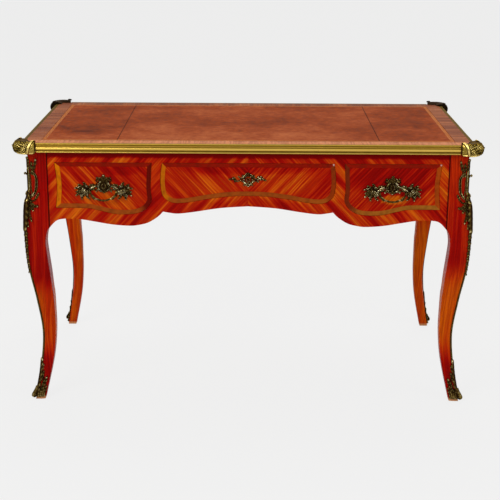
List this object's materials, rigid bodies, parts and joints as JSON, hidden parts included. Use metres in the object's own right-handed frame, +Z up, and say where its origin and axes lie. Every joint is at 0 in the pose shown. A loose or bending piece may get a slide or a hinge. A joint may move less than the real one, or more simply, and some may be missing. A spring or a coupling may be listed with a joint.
{
  "type": "writing desk",
  "caption": "Flat-topped writing desk on cabriole legs, with leather top, brass edge, cast mounts and frieze drawers that slide out.",
  "frame": {"origin": "on the floor under the middle of the desk", "axes": "+X along the length, to the right of a person facing the front, +Y from front to back, +Z up"},
  "size_m": [1.3288, 0.7438, 0.787],
  "materials": {
    "top_veneer": "crossbanded veneer border, polished",
    "frieze_veneer": "quarter-sawn veneer laid on the slant, glossy polish",
    "front_veneer": "quarter-sawn veneer laid on the slant, glossy polish",
    "bevel_veneer": "brown crossbanded bevel, polished",
    "leg_veneer": "straight-grained veneer, glossy polish",
    "inner_wood": "plain planed oak",
    "leather": "worn brown hide with a gilt tooled border",
    "edge_brass": "aged polished brass",
    "gilt_bronze": "cast and chased, dark in the hollows",
    "lock_brass": "plain brass plate",
    "bolt_steel": "filed steel"
  },
  "bodies": {
    "desk": {"top_panel": "top_veneer", "leather_left": "leather", "leather_centre": "leather", "leather_right": "leather", "edge_moulding_front": "edge_brass", "edge_moulding_back": "edge_brass", "edge_moulding_left": "edge_brass", "edge_moulding_right": "edge_brass", "corner_mount_front_left": "gilt_bronze", "corner_mount_front_right": "gilt_bronze", "corner_mount_back_left": "gilt_bronze", "corner_mount_back_right": "gilt_bronze", "leg_front_left": "leg_veneer", "leg_front_right": "leg_veneer", "leg_back_left": "leg_veneer", "leg_back_right": "leg_veneer", "knee_mount_front_left": "gilt_bronze", "knee_mount_front_right": "gilt_bronze", "knee_mount_back_left": "gilt_bronze", "knee_mount_back_right": "gilt_bronze", "foot_mount_front_left": "gilt_bronze", "foot_mount_front_right": "gilt_bronze", "foot_mount_back_left": "gilt_bronze", "foot_mount_back_right": "gilt_bronze", "leg_fillets": "gilt_bronze", "front_top_rail": "frieze_veneer", "front_apron": "frieze_veneer", "front_stiles": "frieze_veneer", "back_panel": "frieze_veneer", "side_panel_left": "frieze_veneer", "side_panel_right": "frieze_veneer", "back_panel_mouldings": "bevel_veneer", "side_panel_mouldings": "bevel_veneer", "partitions": "inner_wood", "drawer_guides": "inner_wood", "glue_blocks": "inner_wood"},
    "drawer_left": {"drawer_left_front": "front_veneer", "drawer_left_moulding": "bevel_veneer", "drawer_left_box": "inner_wood", "drawer_left_bottom": "inner_wood", "drawer_left_lock_case": "lock_brass", "handle_mount_left": "gilt_bronze"},
    "drawer_centre": {"drawer_centre_front": "front_veneer", "drawer_centre_moulding": "bevel_veneer", "drawer_centre_box": "inner_wood", "drawer_centre_bottom": "inner_wood", "drawer_centre_lock_case": "lock_brass", "escutcheon": "gilt_bronze"},
    "drawer_right": {"drawer_right_front": "front_veneer", "drawer_right_moulding": "bevel_veneer", "drawer_right_box": "inner_wood", "drawer_right_bottom": "inner_wood", "drawer_right_lock_case": "lock_brass", "handle_mount_right": "gilt_bronze"},
    "bolt_left": {"drawer_left_lock_bolt": "bolt_steel"},
    "bolt_centre": {"drawer_centre_lock_bolt": "bolt_steel"},
    "bolt_right": {"drawer_right_lock_bolt": "bolt_steel"},
    "swing_left": {"bail_left": "gilt_bronze"},
    "swing_right": {"bail_right": "gilt_bronze"}
  },
  "joints": [
    {"name": "drawer_left_slide", "type": "slide", "parent": "desk", "child": "drawer_left", "axis": [0, -1, 0], "range_m": [0, 0.38]},
    {"name": "drawer_centre_slide", "type": "slide", "parent": "desk", "child": "drawer_centre", "axis": [0, -1, 0], "range_m": [0, 0.38]},
    {"name": "drawer_right_slide", "type": "slide", "parent": "desk", "child": "drawer_right", "axis": [0, -1, 0], "range_m": [0, 0.38]},
    {"name": "bolt_left_throw", "type": "slide", "parent": "drawer_left", "child": "bolt_left", "axis": [0, 0, 1], "range_m": [0, 0.007]},
    {"name": "bolt_centre_throw", "type": "slide", "parent": "drawer_centre", "child": "bolt_centre", "axis": [0, 0, 1], "range_m": [0, 0.007]},
    {"name": "bolt_right_throw", "type": "slide", "parent": "drawer_right", "child": "bolt_right", "axis": [0, 0, 1], "range_m": [0, 0.007]},
    {"name": "bail_left_swing", "type": "hinge", "parent": "drawer_left", "child": "swing_left", "pos_m": [-0.4125, -0.341, 0.638], "axis": [-1, 0, 0], "range_deg": [0, 85]},
    {"name": "bail_right_swing", "type": "hinge", "parent": "drawer_right", "child": "swing_right", "pos_m": [0.4125, -0.341, 0.638], "axis": [-1, 0, 0], "range_deg": [0, 85]}
  ]
}
